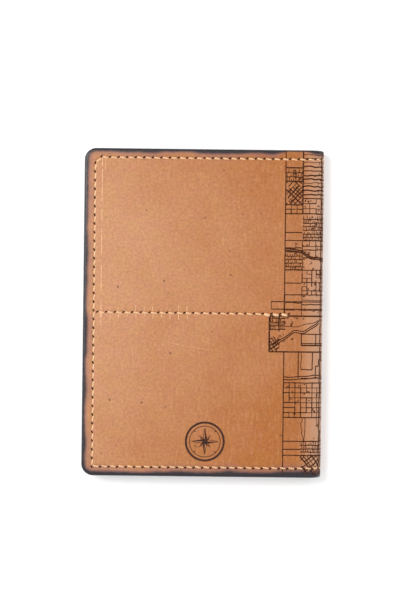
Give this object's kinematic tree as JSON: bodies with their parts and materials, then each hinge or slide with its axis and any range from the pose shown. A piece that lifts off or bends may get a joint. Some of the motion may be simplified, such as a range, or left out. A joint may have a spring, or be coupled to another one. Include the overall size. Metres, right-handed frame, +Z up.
{
  "type": "travel document organizer",
  "caption": "Folding leather travel wallet with a passport sleeve, ticket pocket and card slots, a burnt street map round the spine and cream stitching.",
  "frame": {"origin": "centre of the closed wallet's footprint, on the surface that it lies on", "axes": "+X from the opening edge to the spine, +Y from the foot to the head of the covers, +Z up from the front cover to the back cover"},
  "size_m": [0.1024, 0.14, 0.0127],
  "materials": {
    "map_leather": "waxed, tan, burnished black-brown edges, burnt map lines",
    "lining_leather": "matt",
    "pocket_leather": "satin",
    "linen_thread": "waxed linen"
  },
  "bodies": {
    "front_cover": {"front_hide": "map_leather", "front_lining": "lining_leather", "document_pocket": "pocket_leather", "passport_sleeve": "pocket_leather", "front_needle_thread": "linen_thread", "front_bobbin_thread": "linen_thread"},
    "spine_lower": {"spine_hide_lower": "map_leather", "spine_lining_lower": "lining_leather", "spine_thread_lower": "linen_thread"},
    "spine_middle": {"spine_hide_middle": "map_leather", "spine_lining_middle": "lining_leather", "spine_thread_middle": "linen_thread"},
    "spine_upper": {"spine_hide_upper": "map_leather", "spine_lining_upper": "lining_leather", "spine_thread_upper": "linen_thread"},
    "back_cover": {"back_hide": "map_leather", "back_lining": "lining_leather", "long_card_panel": "pocket_leather", "short_card_panel": "pocket_leather", "back_needle_thread": "linen_thread", "back_bobbin_thread": "linen_thread", "middle_needle_thread": "linen_thread", "middle_bobbin_thread": "linen_thread"}
  },
  "joints": [
    {"name": "spine_fold", "type": "hinge", "parent": "front_cover", "child": "spine_lower", "pos_m": [0.04739, 0, 0.00033], "axis": [0, 1, 0], "range_deg": [0, 45]},
    {"name": "lower_fold", "type": "hinge", "parent": "spine_lower", "child": "spine_middle", "pos_m": [0.05092, 0, 0.00386], "axis": [0, 1, 0], "range_deg": [0, 45]},
    {"name": "upper_fold", "type": "hinge", "parent": "spine_middle", "child": "spine_upper", "pos_m": [0.05092, 0, 0.00884], "axis": [0, 1, 0], "range_deg": [0, 45]},
    {"name": "back_fold", "type": "hinge", "parent": "spine_upper", "child": "back_cover", "pos_m": [0.04739, 0, 0.01237], "axis": [0, 1, 0], "range_deg": [0, 45]}
  ]
}
